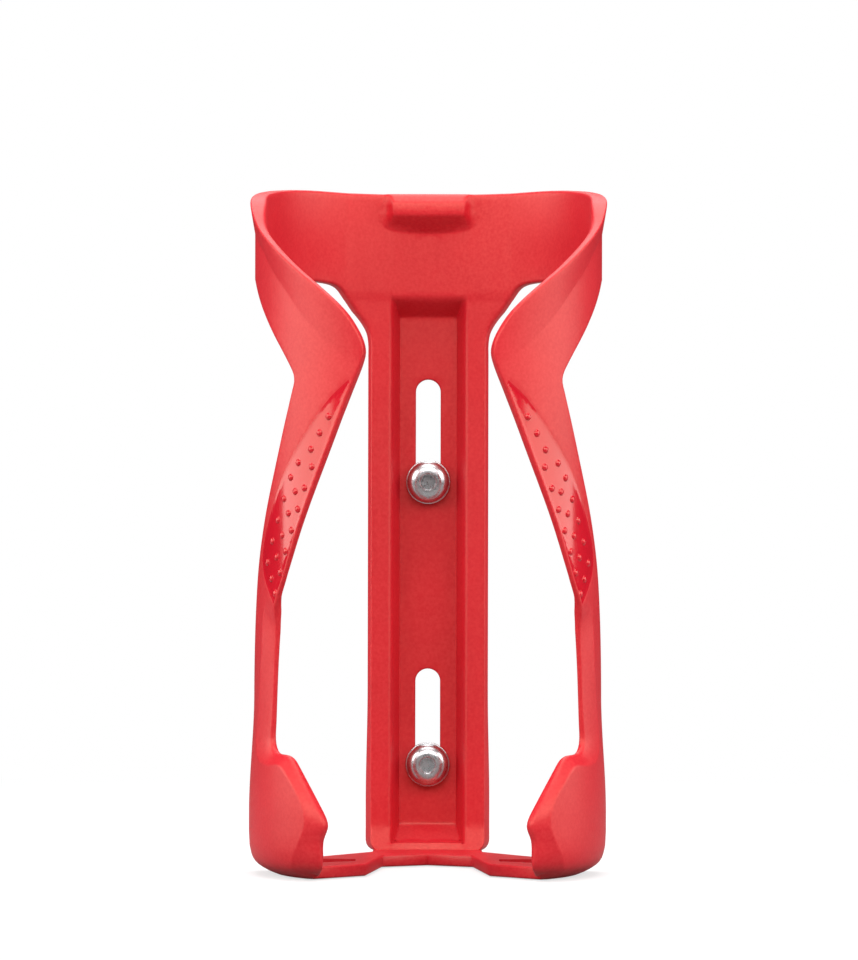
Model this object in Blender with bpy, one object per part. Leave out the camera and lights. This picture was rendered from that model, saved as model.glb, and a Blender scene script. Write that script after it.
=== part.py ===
"""Bicycle water-bottle cage, moulded in glass-fibre nylon, with its two M5 screws.

The frame: +Z is up along the bottle, -Y is the open front where the bottle goes in, and
the origin is the centre of the rear face that lies against the bicycle's tube, midway
between the two screw slots. Shapes are worked out in millimetres and scaled to metres
when a mesh is made. Most of the moulding lies on a cylinder round the bottle's axis, so
its outline is given as (angle, height): the angle is measured round the bottle from the
backplate (0 degrees) towards the open front (180 degrees).
"""

import math

import bmesh
import bpy
from mathutils import Matrix, Vector

MM = 0.001

# The bottle's space and the wall round it.
INNER_RADIUS = 35.2
WALL = 2.6
BOTTLE_AXIS_Y = -43.5
PAD_SWELL = 1.1
FOOT_ROUNDING = 1.3
RIM_FLARE = 1.5

# Heights.
RIM_TOP = 87.3
STRAP_TOP = -60.3
STRAP_BOTTOM = -63.0
FOOT_TOP = -57.0
FOOT_CHAMFER_TOP = -60.6
FOOT_LIP_RADIUS = 32.6

# The backplate: a channel with a flange each side.
PLATE_HALF_WIDTH = 13.7
PLATE_BOTTOM = -60.8
NECK_TOP = 54.5
PLATE_CORNER = 2.6
FLOOR_FRONT_Y = -3.0
FLOOR_HALF_WIDTH = 6.45
FLOOR_BOTTOM = -55.0
FLOOR_TOP = 59.9
CHANNEL_MOUTH_Y = -9.27
MOUTH_HALF_WIDTH = 8.2
MOUTH_BOTTOM = -58.0
MOUTH_TOP = 63.8
CHANNEL_WALL = 2.4
HUMP_FRONT_Y = -8.0

FLANGE_COLUMNS = (5.5, 11.0, 16.5)

# Screw slots.
SLOT_WIDTH = 5.6
SLOT_LENGTH = 26.0
SLOT_SPACING = 65.6

# The lug that drops into a bottle's groove.
LUG_FRONT_HALF_WIDTH = 8.05
LUG_BASE_HALF_WIDTH = 11.0
LUG_FRONT_Y = -12.8
LUG_FACE_TOP = 85.3
LUG_FACE_BOTTOM = 82.4
LUG_TOP = 86.6
LUG_ROOT = 78.0
LUG_CHAMFER = 1.2

# Where the moulding bends: the side pieces start here.
SPLIT_ANGLE = 30.0
SPLIT_GAP = 0.3

# M5 button-head screws, 64 mm apart as on every bicycle, with plain washers.
BOSS_SPACING = 64.0
UPPER_BOLT_Z = 22.5
SHANK_RADIUS = 2.45
SHANK_LENGTH = 15.0
HEAD_RADIUS = 4.75
HEAD_HEIGHT = 2.75
HEAD_RIM = 0.4
CROWN_FLAT_RADIUS = 2.6
TIP_CHAMFER = 0.5
SOCKET_ACROSS_FLATS = 3.0
SOCKET_DEPTH = 1.6
WASHER_RADIUS = 5.0
WASHER_HOLE_RADIUS = 2.8
WASHER_THICKNESS = 1.0
REST_GAP = 0.3

# The outline of one side. Each station pairs a point of the front edge with the point of
# the rear edge that faces it, as ((angle, height), (angle, height)).
STATIONS = (
    ((30.0, 87.3), (30.0, 62.0)),
    ((38.0, 87.4), (34.5, 65.2)),
    ((47.0, 87.4), (42.0, 67.1)),
    ((60.0, 87.0), (52.0, 67.6)),
    ((74.0, 86.0), (66.0, 67.4)),
    ((85.0, 84.7), (79.0, 66.8)),
    ((93.5, 83.0), (89.0, 66.0)),
    ((100.3, 80.6), (95.5, 65.2)),
    ((107.0, 77.3), (101.0, 63.1)),
    ((119.5, 72.3), (109.6, 58.5)),
    ((131.5, 67.2), (117.0, 54.1)),
    ((143.0, 62.2), (123.5, 50.0)),
    ((151.5, 57.5), (128.0, 46.7)),
    ((156.4, 53.0), (130.2, 44.6)),
    ((158.1, 49.6), (130.5, 43.0)),
    ((157.2, 46.6), (129.4, 41.0)),
    ((152.5, 40.4), (126.8, 36.6)),
    ((142.4, 27.2), (119.5, 25.0)),
    ((130.1, 12.0), (110.5, 12.8)),
    ((121.4, 1.7), (103.4, 2.5)),
    ((116.3, -6.0), (99.0, -6.5)),
    ((114.4, -15.0), (95.0, -16.0)),
    ((112.3, -29.5), (89.0, -31.0)),
    ((112.5, -34.0), (86.5, -37.0)),
    ((117.0, -36.2), (85.0, -41.0)),
    ((126.5, -36.8), (83.5, -45.0)),
    ((131.0, -38.7), (82.5, -48.0)),
    ((141.2, -47.0), (81.0, -52.5)),
    ((143.9, -51.0), (80.3, -55.0)),
    ((142.6, -54.6), (79.8, -57.2)),
    ((141.6, -60.8), (79.5, -60.8)),
)
STEPS_PER_STATION = 2
STEPS_ACROSS = 6
FOOT_SPANS = 12

# One leg of the bottom strap, seen from above on the right side, as (x, y).
LEG_OUTLINE = (
    (12.9, -17.6),
    (9.95, -30.2),
    (13.2, -55.5),
    (21.7, -63.5),
    (24.8, -65.1),
    (33.0, -53.0),
    (36.0, -46.0),
    (34.6, -44.6),
    (22.7, -31.5),
)
LEG_SLOT = (
    (15.6, -41.6),
    (15.6, -47.6),
    (23.5, -52.4),
    (28.6, -52.4),
    (28.6, -46.4),
    (23.5, -40.6),
)
# The rear of the strap, joined to the backplate, from its middle to its right end.
STRAP_ROOT_OUTLINE = (
    (12.3, -6.5),
    (12.4, -17.3),
    (9.6, -28.9),
    (0.0, -23.5),
)

SIDE_HINGE_X = (INNER_RADIUS + WALL) * math.sin(math.radians(SPLIT_ANGLE))
SIDE_HINGE_Y = BOTTLE_AXIS_Y + (INNER_RADIUS + WALL) * math.cos(math.radians(SPLIT_ANGLE))


# ---------------------------------------------------------------- helpers


def clear_scene():
    for item in list(bpy.data.objects):
        bpy.data.objects.remove(item, do_unlink=True)


def plain_material(name, colour, roughness, metallic):
    material = bpy.data.materials.new(name)
    material.use_nodes = True
    shader = material.node_tree.nodes["Principled BSDF"]
    shader.inputs["Base Color"].default_value = (*colour, 1.0)
    shader.inputs["Roughness"].default_value = roughness
    shader.inputs["Metallic"].default_value = metallic
    material.diffuse_color = (*colour, 1.0)
    return material


def object_from(name, mesh_builder, origin=(0.0, 0.0, 0.0), material=None):
    """Turns a bmesh in millimetres into an object in metres whose origin is at origin."""
    bmesh.ops.translate(mesh_builder, verts=mesh_builder.verts, vec=-Vector(origin))
    bmesh.ops.scale(mesh_builder, verts=mesh_builder.verts, vec=(MM, MM, MM))
    bmesh.ops.recalc_face_normals(mesh_builder, faces=mesh_builder.faces)
    mesh = bpy.data.meshes.new(name)
    mesh_builder.to_mesh(mesh)
    mesh_builder.free()
    if material:
        mesh.materials.append(material)
    made = bpy.data.objects.new(name, mesh)
    made.location = Vector(origin) * MM
    bpy.context.scene.collection.objects.link(made)
    return made


def as_tool(tool):
    tool.hide_render = True
    tool.display_type = "WIRE"
    return tool


def combine(target, tool, operation):
    modifier = target.modifiers.new(tool.name, "BOOLEAN")
    modifier.operation = operation
    modifier.solver = "EXACT"
    modifier.object = as_tool(tool)


def smooth(target, angle=30.0):
    target.data.shade_smooth()
    target.data.set_sharp_from_angle(angle=math.radians(angle))


def on_cylinder(angle, radius, height):
    """The point at an angle from the backplate, round the bottle's axis."""
    turn = math.radians(angle)
    return Vector((radius * math.sin(turn), BOTTLE_AXIS_Y + radius * math.cos(turn), height))


def prism(outline, low, high):
    """A solid that stands on a plan outline, between two heights."""
    made = bmesh.new()
    base = made.faces.new([made.verts.new((x, y, low)) for x, y in outline])
    lifted = bmesh.ops.extrude_face_region(made, geom=[base])
    top = [item for item in lifted["geom"] if isinstance(item, bmesh.types.BMVert)]
    bmesh.ops.translate(made, verts=top, vec=(0.0, 0.0, high - low))
    return made


def frustum(rear, front):
    """A tapered block between two upright rectangles (y, half width, bottom, top)."""
    made = bmesh.new()
    rings = []
    for y, half_width, bottom, top in (rear, front):
        low = [(-half_width, y, bottom), (half_width, y, bottom)]
        high = [(half_width, y, top), (-half_width, y, top)]
        rings.append([made.verts.new(place) for place in low + high])
    join_rings(made, rings)
    return made


def join_rings(made, rings):
    """Skins a row of closed rings, and closes both ends."""
    for near, far in zip(rings, rings[1:]):
        for here in range(len(near)):
            after = (here + 1) % len(near)
            made.faces.new((near[here], near[after], far[after], far[here]))
    made.faces.new(rings[0])
    made.faces.new(reversed(rings[-1]))


def stadium(width, length, height, segments=8):
    """A slot's outline as (x, z), with round ends, centred at a height."""
    radius = width / 2
    reach = length / 2 - radius
    outline = []
    for end in (1, -1):
        for step in range(segments + 1):
            turn = math.pi * step / segments
            across = end * radius * math.cos(turn)
            up = end * (reach + radius * math.sin(turn))
            outline.append((across, height + up))
    return outline


def mirrored(outline):
    return [(-x, y) for x, y in outline]


# ---------------------------------------------------------------- the springy sides


def spline_points(knots, points, steps):
    """A smooth curve through points, with steps spans between neighbours."""
    last = len(points) - 1
    slopes = []
    for here in range(last + 1):
        before = max(here - 1, 0)
        after = min(here + 1, last)
        slopes.append((points[after] - points[before]) / (knots[after] - knots[before]))
    curve = []
    for here in range(last):
        span = knots[here + 1] - knots[here]
        for step in range(steps):
            t = step / steps
            curve.append(
                points[here] * (2 * t**3 - 3 * t**2 + 1)
                + slopes[here] * span * (t**3 - 2 * t**2 + t)
                + points[here + 1] * (3 * t**2 - 2 * t**3)
                + slopes[here + 1] * span * (t**3 - t**2)
            )
    curve.append(points[last])
    return curve


def edge_curves():
    """The front and the rear edge of a side, point by point, as (angle, height)."""
    front = [Vector(station[0]) for station in STATIONS]
    rear = [Vector(station[1]) for station in STATIONS]
    knots = [0.0]
    for here in range(1, len(STATIONS)):
        stride = (front[here] - front[here - 1]).length + (rear[here] - rear[here - 1]).length
        knots.append(knots[-1] + stride)
    return (
        spline_points(knots, front, STEPS_PER_STATION),
        spline_points(knots, rear, STEPS_PER_STATION),
    )


def ramp(value, start, end):
    """0 before start, 1 after end, and a straight rise between."""
    return min(max((value - start) / (end - start), 0.0), 1.0)


def outer_radius(angle, height, across):
    """The outside of a side: it swells at the foot pad, and flares at the rim's corner."""
    pad = PAD_SWELL * ramp(height, -26.0, -48.0)
    rounding = FOOT_ROUNDING * ramp(height, -56.0, -60.8) ** 2
    round_the_corner = ramp(angle, 60.0, 95.0) * (1.0 - ramp(angle, 100.0, 150.0))
    flare = RIM_FLARE * round_the_corner * ramp(height, 50.0, 72.0) * (1.0 - ramp(across, 0.0, 0.3))
    return INNER_RADIUS + WALL + pad - rounding + flare


def ribbon():
    """The wing, arm and pad of the right side: a band that follows the bottle."""
    made = bmesh.new()
    rings = []
    start = math.degrees(SPLIT_GAP / INNER_RADIUS)
    for front, rear in zip(*edge_curves()):
        outside = []
        inside = []
        for step in range(STEPS_ACROSS + 1):
            across = step / STEPS_ACROSS
            angle, height = front.lerp(rear, across)
            angle = max(angle, SPLIT_ANGLE + start)
            radius = outer_radius(angle, height, across)
            outside.append(made.verts.new(on_cylinder(angle, radius, height)))
            inside.append(made.verts.new(on_cylinder(angle, INNER_RADIUS, height)))
        rings.append(outside + inside[::-1])
    join_rings(made, rings)
    return made


def foot():
    """The turned-in bottom of the foot pad, with the chamfer under it."""
    inside_wall = INNER_RADIUS + 0.5
    pad_radius = INNER_RADIUS + WALL - 1.0
    profile = (
        (inside_wall, FOOT_TOP),
        (pad_radius, FOOT_TOP),
        (pad_radius, FOOT_CHAMFER_TOP),
        (INNER_RADIUS + 0.4, STRAP_BOTTOM + 0.9),
        (INNER_RADIUS - 1.6, STRAP_BOTTOM),
        (FOOT_LIP_RADIUS, STRAP_BOTTOM),
        (FOOT_LIP_RADIUS, STRAP_TOP - 0.1),
        (inside_wall, STRAP_TOP - 0.1),
    )
    first = STATIONS[-1][1][0] + 0.2
    last = STATIONS[-1][0][0] - 0.6
    made = bmesh.new()
    rings = []
    for step in range(FOOT_SPANS + 1):
        angle = first + (last - first) * step / FOOT_SPANS
        rings.append([made.verts.new(on_cylinder(angle, r, z)) for r, z in profile])
    join_rings(made, rings)
    return made


def flip(made):
    bmesh.ops.scale(made, verts=made.verts, vec=(-1.0, 1.0, 1.0))


def make_side(name, sign, material):
    origin = (sign * SIDE_HINGE_X, SIDE_HINGE_Y, 0.0)
    shapes = {
        "": ribbon(),
        "_foot": foot(),
        "_leg": prism(LEG_OUTLINE, STRAP_BOTTOM + 0.1, STRAP_TOP),
        "_leg_slot": prism(LEG_SLOT, STRAP_BOTTOM - 1.0, STRAP_TOP + 1.0),
    }
    made = {}
    for suffix, shape in shapes.items():
        if sign < 0:
            flip(shape)
        made[suffix] = object_from(name + suffix, shape, origin, material)
    side = made[""]
    combine(made["_foot"], made["_leg"], "UNION")
    combine(made["_foot"], made["_leg_slot"], "DIFFERENCE")
    combine(side, made["_foot"], "UNION")
    smooth(side)
    return side


# ---------------------------------------------------------------- the backplate


def collar_lower_edge(angle, plate_angle):
    """The height of the collar's lower edge where it runs into the backplate."""
    rise = ramp(angle, plate_angle, SPLIT_ANGLE)
    return NECK_TOP + (STATIONS[0][1][1] - NECK_TOP) * math.sin(rise * math.pi / 2) ** 0.8


def flange_outline():
    """The plate and the middle of the collar, unrolled, as (angle, height)."""
    outside = INNER_RADIUS + WALL
    plate_angle = math.degrees(math.asin(PLATE_HALF_WIDTH / outside))
    per_mm = math.degrees(1.0 / outside)
    half = []
    corner_steps = 4
    for step in range(corner_steps + 1):
        turn = math.radians(90.0) * step / corner_steps
        half.append(
            (
                plate_angle - PLATE_CORNER * (1.0 - math.sin(turn)) * per_mm,
                PLATE_BOTTOM + PLATE_CORNER * (1.0 - math.cos(turn)),
            )
        )
    fillet_steps = 6
    for step in range(fillet_steps + 1):
        angle = plate_angle + (SPLIT_ANGLE - plate_angle) * step / fillet_steps
        half.append((angle, collar_lower_edge(angle, plate_angle)))
    half.append((SPLIT_ANGLE, RIM_TOP))
    return half


def flange():
    """The curved sheet of the backplate: level strips whose ends follow the outline."""
    made = bmesh.new()
    rings = []
    for half_angle, height in flange_outline():
        right = [*FLANGE_COLUMNS, (FLANGE_COLUMNS[-1] + half_angle) / 2, half_angle]
        angles = [-angle for angle in reversed(right)] + [0.0] + right
        ring = [on_cylinder(angle, INNER_RADIUS + WALL, height) for angle in angles]
        ring += [on_cylinder(angle, INNER_RADIUS, height) for angle in reversed(angles)]
        rings.append([made.verts.new(place) for place in ring])
    join_rings(made, rings)
    return made


def taper(y, at_floor, at_mouth):
    """A channel wall's place at depth y, from its places at the floor and at the mouth."""
    share = (y - FLOOR_FRONT_Y) / (CHANNEL_MOUTH_Y - FLOOR_FRONT_Y)
    return at_floor + (at_mouth - at_floor) * share


def channel_section(y, grow):
    """The channel's rectangle at depth y, grown by a wall, for frustum()."""
    return (
        y,
        taper(y, FLOOR_HALF_WIDTH, MOUTH_HALF_WIDTH) + grow,
        taper(y, FLOOR_BOTTOM, MOUTH_BOTTOM) - grow,
        taper(y, FLOOR_TOP, MOUTH_TOP) + grow,
    )


def lug():
    """The lug's wedge: a chamfered top, an upright face and a slanting underside."""
    made = bmesh.new()
    inside_collar_y = BOTTLE_AXIS_Y + INNER_RADIUS + 0.7
    rings = []
    for sign in (-1, 1):
        near = sign * LUG_FRONT_HALF_WIDTH
        base = sign * LUG_BASE_HALF_WIDTH
        ring = [
            (base, inside_collar_y, LUG_TOP),
            (near, LUG_FRONT_Y + LUG_CHAMFER, LUG_TOP),
            (near, LUG_FRONT_Y, LUG_FACE_TOP),
            (near, LUG_FRONT_Y, LUG_FACE_BOTTOM),
            (base, inside_collar_y, LUG_ROOT),
        ]
        rings.append([made.verts.new(place) for place in ring])
    join_rings(made, rings)
    return made


def make_backplate(material):
    backplate = object_from("backplate", flange(), material=material)
    hump = frustum(channel_section(0.0, CHANNEL_WALL), channel_section(HUMP_FRONT_Y, CHANNEL_WALL))
    combine(backplate, object_from("channel_hump", hump), "UNION")
    combine(backplate, object_from("lug_wedge", lug()), "UNION")
    strap = list(STRAP_ROOT_OUTLINE) + mirrored(reversed(STRAP_ROOT_OUTLINE[:-1]))
    strap_root = prism(strap, STRAP_BOTTOM + 0.1, STRAP_TOP)
    combine(backplate, object_from("strap_root", strap_root), "UNION")
    hollow = frustum(channel_section(FLOOR_FRONT_Y, 0.0), channel_section(2.0 * HUMP_FRONT_Y, 0.0))
    combine(backplate, object_from("channel_hollow", hollow), "DIFFERENCE")
    upright = Matrix.Rotation(math.radians(90.0), 3, "X")
    for name, sign in (("upper_slot", 1), ("lower_slot", -1)):
        outline = stadium(SLOT_WIDTH, SLOT_LENGTH, sign * SLOT_SPACING / 2)
        slot = prism(outline, -2.0, -2.0 * FLOOR_FRONT_Y)
        bmesh.ops.rotate(slot, verts=slot.verts, matrix=upright)
        combine(backplate, object_from(name, slot), "DIFFERENCE")
    smooth(backplate)
    return backplate


# ---------------------------------------------------------------- screws and washers


def turned(profile, segments):
    """A solid turned about the Y axis from (y, radius) points; the ends are closed."""
    made = bmesh.new()
    rings = []
    for y, radius in profile:
        ring = []
        for step in range(segments):
            turn = 2.0 * math.pi * step / segments
            ring.append(made.verts.new((radius * math.cos(turn), y, radius * math.sin(turn))))
        rings.append(ring)
    join_rings(made, rings)
    return made


def make_bolt(name, height, material):
    seat = FLOOR_FRONT_Y - 2.0 * REST_GAP - WASHER_THICKNESS
    crown = []
    for share in (0.0, 0.35, 0.7):
        swell = CROWN_FLAT_RADIUS + (HEAD_RADIUS - CROWN_FLAT_RADIUS) * share
        crown.append((seat - HEAD_HEIGHT * (1.0 - share**2), swell))
    profile = crown + [
        (seat - HEAD_RIM, HEAD_RADIUS),
        (seat, HEAD_RADIUS),
        (seat, SHANK_RADIUS),
        (seat + SHANK_LENGTH - TIP_CHAMFER, SHANK_RADIUS),
        (seat + SHANK_LENGTH, SHANK_RADIUS - TIP_CHAMFER),
    ]
    origin = (0.0, 0.0, height)
    body = turned(profile, 24)
    bmesh.ops.translate(body, verts=body.verts, vec=origin)
    bolt = object_from(name, body, origin, material)
    corner_radius = SOCKET_ACROSS_FLATS / math.sqrt(3.0)
    mouth = seat - HEAD_HEIGHT
    socket = turned(((mouth - 1.0, corner_radius), (mouth + SOCKET_DEPTH, corner_radius)), 6)
    bmesh.ops.translate(socket, verts=socket.verts, vec=origin)
    combine(bolt, object_from(name + "_socket", socket, origin), "DIFFERENCE")
    smooth(bolt)
    return bolt


def make_washer(name, height, material):
    rear = FLOOR_FRONT_Y - REST_GAP
    front = rear - WASHER_THICKNESS
    origin = (0.0, 0.0, height)
    made = {}
    for suffix, radius, near, far in (
        ("", WASHER_RADIUS, front, rear),
        ("_hole", WASHER_HOLE_RADIUS, front - 1.0, rear + 1.0),
    ):
        disc = turned(((near, radius), (far, radius)), 32)
        bmesh.ops.translate(disc, verts=disc.verts, vec=origin)
        made[suffix] = object_from(name + suffix, disc, origin, material)
    combine(made[""], made["_hole"], "DIFFERENCE")
    smooth(made[""])
    return made[""]


def main():
    clear_scene()
    red = plain_material("red_glass_fibre_nylon", (0.72, 0.035, 0.03), 0.42, 0.0)
    steel = plain_material("stainless_steel", (0.62, 0.62, 0.63), 0.28, 1.0)
    make_backplate(red)
    make_side("left_side", -1, red)
    make_side("right_side", 1, red)
    for prefix, height in (("upper", UPPER_BOLT_Z), ("lower", UPPER_BOLT_Z - BOSS_SPACING)):
        make_washer(prefix + "_washer", height, steel)
        make_bolt(prefix + "_bolt", height, steel)


main()
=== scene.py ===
"""Looks for the bottle cage: the moulding's fine surface, its screws, materials and studio.

The moulding is one springy sheet with rounded edges. It is worked out unrolled: a place on
it is (u, v), with u the distance round the outside of the wall from the backplate's middle
and v the height. Below the foot's bend v runs on along the bent wall. Two triangulations,
one for the bottle's side and one for the outside, share that outline and are joined by a
rounded rim. Shapes are in millimetres and become metres when a mesh is made.
"""

import math

import bmesh
import bpy
import numpy as np
from mathutils import Matrix, Vector, kdtree
from mathutils.geometry import delaunay_2d_cdt


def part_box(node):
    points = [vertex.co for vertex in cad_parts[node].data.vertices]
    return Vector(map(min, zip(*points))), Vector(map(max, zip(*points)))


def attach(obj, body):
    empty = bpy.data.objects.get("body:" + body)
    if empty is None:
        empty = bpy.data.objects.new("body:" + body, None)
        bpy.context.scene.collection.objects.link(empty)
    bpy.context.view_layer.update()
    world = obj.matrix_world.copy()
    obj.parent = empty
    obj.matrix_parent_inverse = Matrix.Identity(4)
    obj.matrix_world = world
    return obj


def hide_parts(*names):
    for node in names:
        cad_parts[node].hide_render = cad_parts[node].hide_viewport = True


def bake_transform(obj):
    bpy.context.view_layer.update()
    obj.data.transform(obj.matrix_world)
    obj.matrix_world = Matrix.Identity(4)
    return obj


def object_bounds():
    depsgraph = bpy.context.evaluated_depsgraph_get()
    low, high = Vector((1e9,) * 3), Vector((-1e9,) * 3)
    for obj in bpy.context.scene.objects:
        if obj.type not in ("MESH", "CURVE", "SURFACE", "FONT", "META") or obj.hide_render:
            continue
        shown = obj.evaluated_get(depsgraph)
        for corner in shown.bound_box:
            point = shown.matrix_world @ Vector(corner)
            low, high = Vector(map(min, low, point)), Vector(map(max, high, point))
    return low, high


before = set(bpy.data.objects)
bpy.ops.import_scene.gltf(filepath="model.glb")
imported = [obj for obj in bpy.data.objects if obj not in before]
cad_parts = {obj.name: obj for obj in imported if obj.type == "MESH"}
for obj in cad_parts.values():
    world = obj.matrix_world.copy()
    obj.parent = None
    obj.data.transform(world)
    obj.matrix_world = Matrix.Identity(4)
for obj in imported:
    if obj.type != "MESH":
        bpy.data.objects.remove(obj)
CAD_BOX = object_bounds()

MM = 0.001


def cad_box_mm(node):
    low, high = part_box(node)
    return low / MM, high / MM


# ---- driving dimensions

INNER_RADIUS = 35.2
WALL = 2.6
OUTER_RADIUS = INNER_RADIUS + WALL
AXIS_Y = -43.5
PER_DEGREE = math.radians(OUTER_RADIUS)

# The backplate and its channel. At the bottom the channel's floor ends in a ramp and a steep
# end wall, and below FLARE_TOP the front of the plate leans forward.
PLATE_HALF_WIDTH = 13.7
PLATE_BOTTOM = -60.8
PLATE_CORNER = 2.6
SPLIT_ANGLE = 30.0
FLAT_TO_CURVED = (4.0, 12.5)
FLOOR_FRONT_Y = -3.0
FLOOR_REAR_Y = 0.0
FLOOR_HALF_WIDTH = 6.45
FLOOR_BOTTOM = -55.0
FLOOR_TOP = 59.9
SIDE_RUN = 1.73
RAMP_SLOPE = 0.92
END_WALL_FOOT = -58.45
END_WALL_RUN = 0.45
TOP_RUN = 3.95
HUMP_HALF_WIDTH = 8.01
HUMP_BOTTOM = -55.97
HUMP_TOP = 60.43
HUMP_SIDE_RUN = 1.96
HUMP_BOTTOM_RUN = 2.73
HUMP_TOP_RUN = 3.55
FLARE_TOP = -55.3
FLARE_SLOPE = 0.33
SLOT_WIDTH = 5.6
SLOT_LENGTH = 26.0
SLOT_SPACING = 65.6

# The lug that drops into a bottle's groove. The corners of its foot on the wall are given as
# (x, height above the foot's middle).
LUG_FRONT_Y = -12.8
LUG_HALF_WIDTH = 8.05
LUG_FACE_BOTTOM = 82.4
LUG_FACE_TOP = 85.3
LUG_FLANK_RUN = 2.55
LUG_FLANK_RISE = 3.05
LUG_UNDER_SLOPE = 1.18
LUG_UNDER_RUN = 3.75
LUG_TOP_SLOPE = 0.92
LUG_FOOT = ((0.0, 0.0), (6.5, 0.0), (9.0, 0.5), (LUG_HALF_WIDTH + LUG_FLANK_RUN, 1.6))

# The outline of one side. Each station pairs a point of the front edge with the point of
# the rear edge that faces it, as ((angle, height), (angle, height)).
STATIONS = (
    ((30.0, 87.3), (30.0, 62.9)),
    ((38.0, 87.4), (34.6, 66.1)),
    ((47.0, 87.4), (42.0, 67.0)),
    ((60.0, 87.0), (52.0, 67.0)),
    ((74.0, 86.0), (66.0, 67.4)),
    ((85.0, 84.7), (79.0, 66.8)),
    ((93.5, 83.0), (89.0, 66.0)),
    ((100.3, 80.6), (95.5, 65.2)),
    ((107.8, 77.3), (101.0, 63.1)),
    ((120.7, 72.3), (109.6, 58.5)),
    ((132.9, 67.2), (117.0, 54.1)),
    ((144.2, 62.2), (123.5, 50.0)),
    ((152.4, 57.5), (128.0, 46.7)),
    ((157.0, 53.0), (130.2, 44.6)),
    ((158.6, 49.6), (130.5, 43.0)),
    ((157.7, 46.6), (129.4, 41.0)),
    ((153.6, 40.4), (126.8, 36.6)),
    ((144.6, 27.2), (119.5, 25.0)),
    ((133.1, 12.0), (110.5, 12.8)),
    ((125.6, 1.7), (103.4, 2.5)),
    ((118.8, -6.0), (99.0, -6.5)),
    ((115.9, -15.0), (95.0, -16.0)),
    ((113.6, -29.5), (89.0, -31.0)),
    ((113.2, -34.0), (86.5, -37.0)),
    ((117.0, -36.2), (85.0, -41.0)),
    ((125.6, -36.8), (83.5, -45.0)),
    ((129.8, -38.7), (82.5, -48.0)),
    ((140.5, -47.0), (81.0, -52.5)),
    ((143.9, -51.0), (80.3, -55.0)),
    ((141.9, -54.6), (79.8, -57.2)),
    ((141.3, -60.2), (79.5, -61.0)),
    ((137.5, -63.3), (79.5, -62.8)),
    ((132.0, -66.2), (79.5, -64.6)),
)
# The collar's lower edge where it runs down into the edge of the backplate.
NECK = (
    (30.0, 62.9), (27.5, 60.8), (25.2, 59.2), (23.1, 57.4),
    (21.8, 55.7), (21.25, 53.4), (21.25, 51.0),
)
LIP_SET_BACK = 0.3

# The wing's crease: above it the wall flares out towards the front edge, by the amount in
# the third column, as (angle, height, flare).
WING_CREASE = (
    (58.0, 82.5, 0.0), (72.0, 79.8, 0.5), (85.0, 77.3, 1.0),
    (95.0, 75.6, 1.2), (106.0, 73.0, 1.2), (116.7, 67.7, 1.15),
    (125.2, 63.2, 1.1), (132.1, 58.8, 1.05), (139.1, 54.6, 0.95),
    (145.5, 51.3, 0.75), (151.0, 48.6, 0.45), (156.0, 46.2, 0.0),
)
# The ridge of the lower arm and foot pad: in front of it the wall falls away to the front
# edge, by the amount in the third column, as (angle, height, drop).
PAD_RIDGE = (
    (113.2, -2.5, 0.0), (110.0, -7.0, 1.1), (108.5, -14.3, 1.5),
    (105.3, -25.1, 1.5), (103.2, -33.0, 1.5), (106.5, -37.3, 1.5),
    (115.0, -38.8, 1.6), (125.8, -39.3, 1.7), (138.0, -49.4, 1.7),
    (131.0, -59.0, 1.7), (128.0, -61.5, 1.2), (126.5, -64.5, 0.0),
)
PAD_SWELL = 1.1
PAD_SWELL_HEIGHTS = (-24.0, -50.0)
# How much of the wing's flare the bottle's side follows in front of the collar: more than
# all of it, so that the wall grows thinner towards the edge. It sets in between two angles.
FLARE_INSIDE = 1.45
FLARE_INSIDE_ANGLES = (92.0, 112.0)

# The polished lens on the arm: its rear boundary from tip to tip, as (angle, height). Its
# front boundary keeps a set distance from the front edge.
LENS_REAR = (
    (153.6, 43.2), (146.4, 39.3), (136.8, 32.4), (126.6, 24.6),
    (119.3, 17.5), (111.6, 9.3), (109.7, 5.4), (110.8, 2.3),
    (114.8, -1.2), (119.4, -4.5),
)
LENS_MARGIN = 0.62
LENS_DEPTH = 0.07
LENS_WALL = 0.3
# How much thinner the wall is at the front edge beside the lens, as (height, thinning), and
# the width over which it gains its full thickness.
EDGE_THINNING = (
    (-10.0, 0.0), (-6.0, 0.3), (-2.5, 1.2), (2.0, 1.35),
    (10.0, 1.1), (20.0, 0.9), (35.0, 0.6), (46.0, 0.0),
)
THINNING_WIDTH = 8.0
# Lanes of grip domes in the lens, as (first dome, last dome, number of domes).
DOME_LANES = (
    ((146.1, 35.5), (138.8, 28.6), 3),
    ((139.1, 24.9), (119.9, -2.0), 7),
    ((131.5, 19.7), (117.3, 1.1), 5),
    ((129.2, 22.7), (114.2, 4.6), 5),
    ((133.0, 25.8), (133.0, 25.8), 1),
)
DOME_RADIUS = 0.78
DOME_HEIGHT = 0.45
DOME_FULLNESS = 0.6

# The foot: in front of FOOT_ANGLE and from FOOT_BEND_TOP down, the wall bends in under the
# bottle to the lip that carries the strap. Its two sides follow these (radius, height) points.
FOOT_ANGLE = 60.0
FOOT_BEND_TOP = -54.0
FOOT_OUTSIDE = (
    (38.9, -54.0), (38.75, -57.0), (38.25, -59.2), (37.4, -60.6),
    (36.0, -61.6), (34.2, -62.55), (32.5, -63.0),
)
FOOT_INSIDE = (
    (35.2, -54.0), (35.2, -57.0), (35.2, -59.2), (34.9, -60.1),
    (34.2, -60.3), (33.3, -60.3), (32.5, -60.3),
)
FOOT_CORNER = 1.6

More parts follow.
